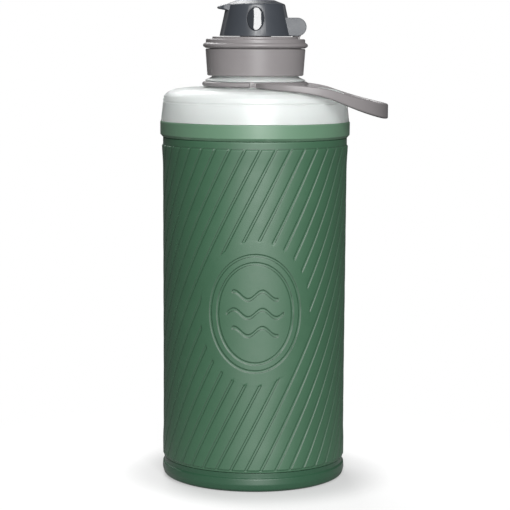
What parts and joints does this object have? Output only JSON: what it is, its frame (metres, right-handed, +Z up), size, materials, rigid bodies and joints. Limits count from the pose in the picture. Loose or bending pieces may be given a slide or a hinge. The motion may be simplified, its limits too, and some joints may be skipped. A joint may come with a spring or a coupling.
{
  "type": "collapsible water bottle",
  "caption": "Soft-walled collapsible water bottle with spiral ribs, clear shoulder, screw cap with pull spout under a flip cover, and a swivelling carry handle.",
  "frame": {"origin": "middle of the flat base, on the surface the bottle stands on", "axes": "+Z up the bottle's axis, +X towards the carry handle as it lies at rest, -X towards the flip cover's thumb tab"},
  "size_m": [0.1224, 0.102, 0.2591],
  "materials": {
    "green_tpu": "satin translucent soft plastic",
    "green_base": "satin soft plastic",
    "clear_tpu": "frosted clear",
    "taupe_plastic": "satin moulded",
    "slate_plastic": "satin moulded",
    "gloss_black": "high gloss",
    "pale_silicone": "satin soft",
    "seal_rubber": "matte",
    "pin_steel": "ground"
  },
  "bodies": {
    "base": {"base_cup": "green_base"},
    "sleeve": {"body_sleeve": "green_tpu"},
    "shoulder": {"shoulder_band": "green_tpu", "shoulder_dome": "clear_tpu", "threaded_neck": "clear_tpu"},
    "ring": {"handle_ring": "taupe_plastic"},
    "bail": {"bail_handle": "taupe_plastic"},
    "cap_seal": {"cap_gasket": "seal_rubber"},
    "cap": {"cap_skirt": "taupe_plastic", "cap_collar": "taupe_plastic", "spout_seat": "taupe_plastic", "valve_stem": "pale_silicone", "hinge_pin": "pin_steel"},
    "spout": {"nozzle": "pale_silicone", "nozzle_seal": "seal_rubber"},
    "cover": {"dust_cover": "slate_plastic", "cover_emblem": "gloss_black", "cover_plug": "pale_silicone"}
  },
  "joints": [
    {"name": "body_twist", "type": "hinge", "parent": "base", "child": "sleeve", "pos_m": [0, 0, 0.0106], "axis": [0, 0, 1], "range_deg": [0, 115]},
    {"name": "body_collapse", "type": "slide", "parent": "sleeve", "child": "shoulder", "axis": [0, 0, 1], "range_m": [-0.145, 0], "deforming": ["body_sleeve"]},
    {"name": "handle_swivel", "type": "hinge", "parent": "shoulder", "child": "ring", "pos_m": [0, 0, 0.2125], "axis": [0, 0, 1], "continuous": true},
    {"name": "bail_swing", "type": "hinge", "parent": "ring", "child": "bail", "pos_m": [0, 0, 0.2125], "axis": [0, -1, 0], "range_deg": [0, 180]},
    {"name": "cap_lift", "type": "slide", "parent": "shoulder", "child": "cap_seal", "axis": [0, 0, 1], "range_m": [0, 0.00676]},
    {"name": "cap_turn", "type": "hinge", "parent": "cap_seal", "child": "cap", "pos_m": [0, 0, 0.217], "axis": [0, 0, 1], "range_deg": [0, 540]},
    {"name": "spout_pull", "type": "slide", "parent": "cap", "child": "spout", "axis": [0, 0, 1], "range_m": [0, 0.0045]},
    {"name": "cover_flip", "type": "hinge", "parent": "cap", "child": "cover", "pos_m": [0.0222, 0, 0.243], "axis": [0, 1, 0], "range_deg": [0, 165]}
  ],
  "couplings": [
    {"joint": "body_twist", "follows": "body_collapse", "rad_per_m": -13.84},
    {"joint": "cap_lift", "follows": "cap_turn", "m_per_rad": 0.0007162}
  ]
}
